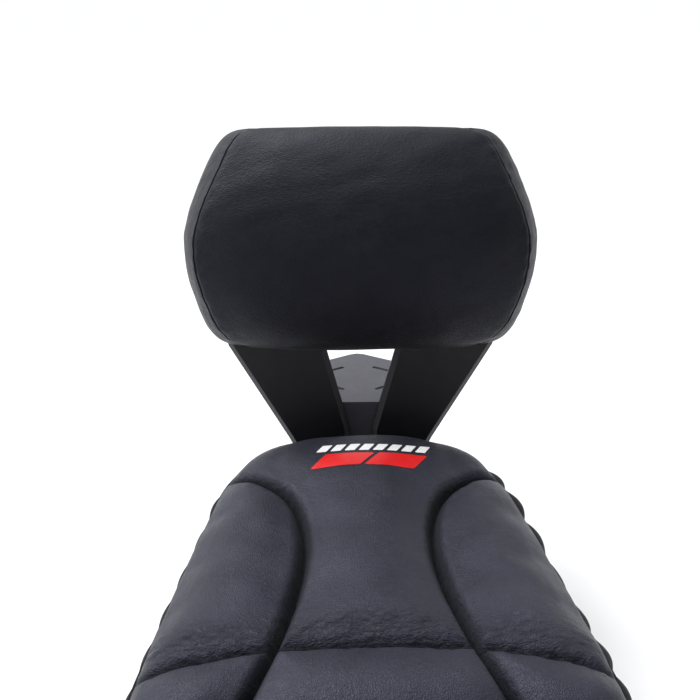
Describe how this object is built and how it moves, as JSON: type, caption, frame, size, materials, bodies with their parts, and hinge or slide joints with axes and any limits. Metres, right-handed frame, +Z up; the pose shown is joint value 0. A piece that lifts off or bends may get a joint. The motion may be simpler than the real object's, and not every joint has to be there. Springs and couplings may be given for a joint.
{
  "type": "motorcycle seat",
  "caption": "Two-up scooter seat in padded leather-look vinyl with a front hinge, rubber buffers, a latch loop and a passenger backrest on a V-shaped plate.",
  "frame": {"origin": "centre of the four bolt holes in the frame-side hinge bracket, on the bracket's underside, which is level with the feet of the closed seat's buffers", "axes": "+Y to the rear of the vehicle, +Z up, +X to the rider's left"},
  "size_m": [0.3706, 0.9522, 0.4778],
  "materials": {
    "pan_plastic": "matte moulded polypropylene",
    "foam": "moulded polyurethane foam",
    "seat_vinyl": "soft satin leather grain, blue-black",
    "band_vinyl": "coarse matt black grain",
    "pad_vinyl": "satin leather grain, near black",
    "lining": "non-woven black",
    "board": "plywood",
    "rubber": "matte",
    "nylon": "natural",
    "zinc_steel": "zinc plated",
    "black_steel": "black powder coat",
    "grey_steel": "satin dark grey",
    "black_aluminium": "black anodised, satin"
  },
  "bodies": {
    "hinge_base": {"frame_hinge_bracket": "black_steel", "hinge_pin": "zinc_steel", "hinge_pin_clip": "zinc_steel"},
    "seat": {"seat_pan": "pan_plastic", "seat_foam": "foam", "cover_top": "seat_vinyl", "cover_side_band": "band_vinyl", "cover_staples": "zinc_steel", "buffer_front_left": "rubber", "buffer_front_right": "rubber", "buffer_middle_left": "rubber", "buffer_middle_right": "rubber", "buffer_rear_left": "rubber", "buffer_rear_right": "rubber", "seat_hinge_bracket": "black_steel", "hinge_bushes": "nylon", "nose_plate": "zinc_steel", "seat_hinge_bolts": "zinc_steel", "seat_hinge_nuts": "zinc_steel", "latch_striker": "zinc_steel", "striker_bolts": "zinc_steel", "striker_nuts": "zinc_steel", "base_plate": "grey_steel", "tail_plate": "zinc_steel", "tail_sleeves": "zinc_steel", "tail_bolts": "zinc_steel", "tail_nuts": "zinc_steel", "backrest_bracket": "black_aluminium", "leg_bolts": "black_steel", "leg_nuts": "zinc_steel", "pad_board": "board", "pad_foam": "foam", "pad_cover": "pad_vinyl", "pad_back_lining": "lining", "pad_tee_nuts": "zinc_steel", "pad_washers": "zinc_steel", "pad_bolts": "zinc_steel"}
  },
  "joints": [
    {"name": "seat_opening", "type": "hinge", "parent": "hinge_base", "child": "seat", "pos_m": [0, -0.032, 0.016], "axis": [1, 0, 0], "range_deg": [0, 70]}
  ]
}
